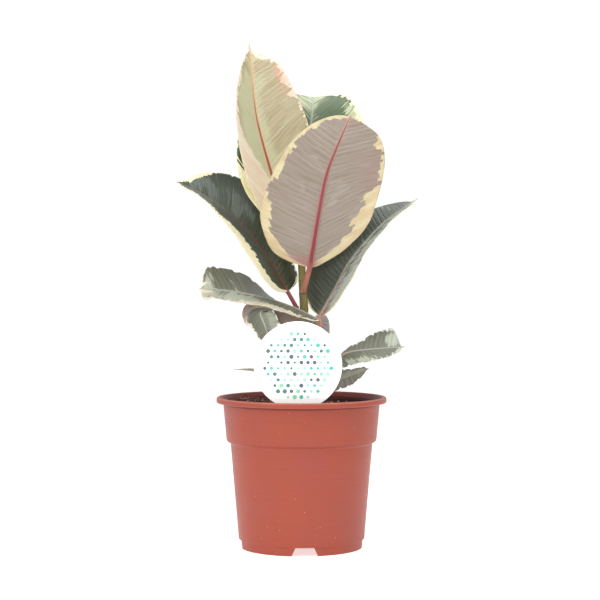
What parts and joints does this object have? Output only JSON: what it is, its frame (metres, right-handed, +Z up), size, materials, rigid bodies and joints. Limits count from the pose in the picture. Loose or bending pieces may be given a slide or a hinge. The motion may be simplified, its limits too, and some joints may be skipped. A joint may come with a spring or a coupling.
{
  "type": "potted rubber plant",
  "caption": "Variegated rubber plant with broad leaves on one upright stem, in a round plastic nursery pot filled with soil, with a round tag on a stake.",
  "frame": {"origin": "on the surface that the pot stands on, under the pot's axis", "axes": "+Z up, -Y towards the front with the tag, +X to the right seen from the front"},
  "size_m": [0.2443, 0.17, 0.5081],
  "materials": {
    "pot_plastic": "satin moulded plastic, terracotta coloured",
    "potting_soil": "loose lumpy peat mix, dull",
    "stem_bark": "smooth olive-green bark with brown leaf scars",
    "bud_skin": "smooth red leaf sheath",
    "tag_plastic": "white plastic sheet with a plain printed pattern of dots",
    "leaf_underside": "satin leaf underside, mauve grey with a cream margin and a crimson midrib",
    "leaf_pale": "glossy leaf, pale green and cream",
    "leaf_green": "glossy leaf, dark green with a cream margin",
    "leaf_grey_green": "satin leaf, grey green with a cream margin"
  },
  "bodies": {
    "root": {"pot": "pot_plastic", "soil": "potting_soil", "stem": "stem_bark", "bud_sheath": "bud_skin", "plant_tag": "tag_plastic", "leaf_front": "leaf_underside", "leaf_top": "leaf_pale", "leaf_back": "leaf_green", "leaf_left": "leaf_green", "leaf_right": "leaf_green", "leaf_low_left": "leaf_grey_green", "leaf_low_front": "leaf_grey_green", "leaf_low_right": "leaf_grey_green", "leaf_lowest_right": "leaf_grey_green", "leaf_lowest_left": "leaf_grey_green", "leaf_low_back": "leaf_underside"}
  },
  "joints": []
}
